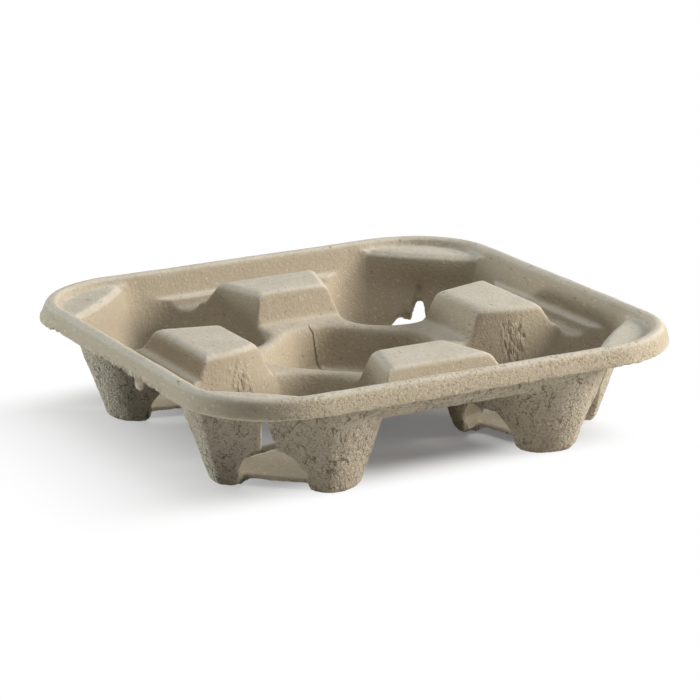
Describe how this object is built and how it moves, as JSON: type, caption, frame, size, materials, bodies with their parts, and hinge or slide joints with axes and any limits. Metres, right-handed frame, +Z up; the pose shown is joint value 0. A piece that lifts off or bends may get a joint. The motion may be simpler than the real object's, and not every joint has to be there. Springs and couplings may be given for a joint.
{
  "type": "moulded pulp cup carrier tray",
  "caption": "Square moulded paper pulp tray with a rolled rim, slotted cup wells on feet, raised side blocks and a middle pocket, for carrying drinks.",
  "frame": {"origin": "middle of the tray, on the surface that it stands on", "axes": "+Z up; +X and +Y along the straight sides of the rim"},
  "size_m": [0.216, 0.216, 0.047],
  "materials": {
    "pulp": "matt grey-beige moulded pulp with fibre flecks"
  },
  "bodies": {
    "root": {"tray": "pulp"}
  },
  "joints": []
}
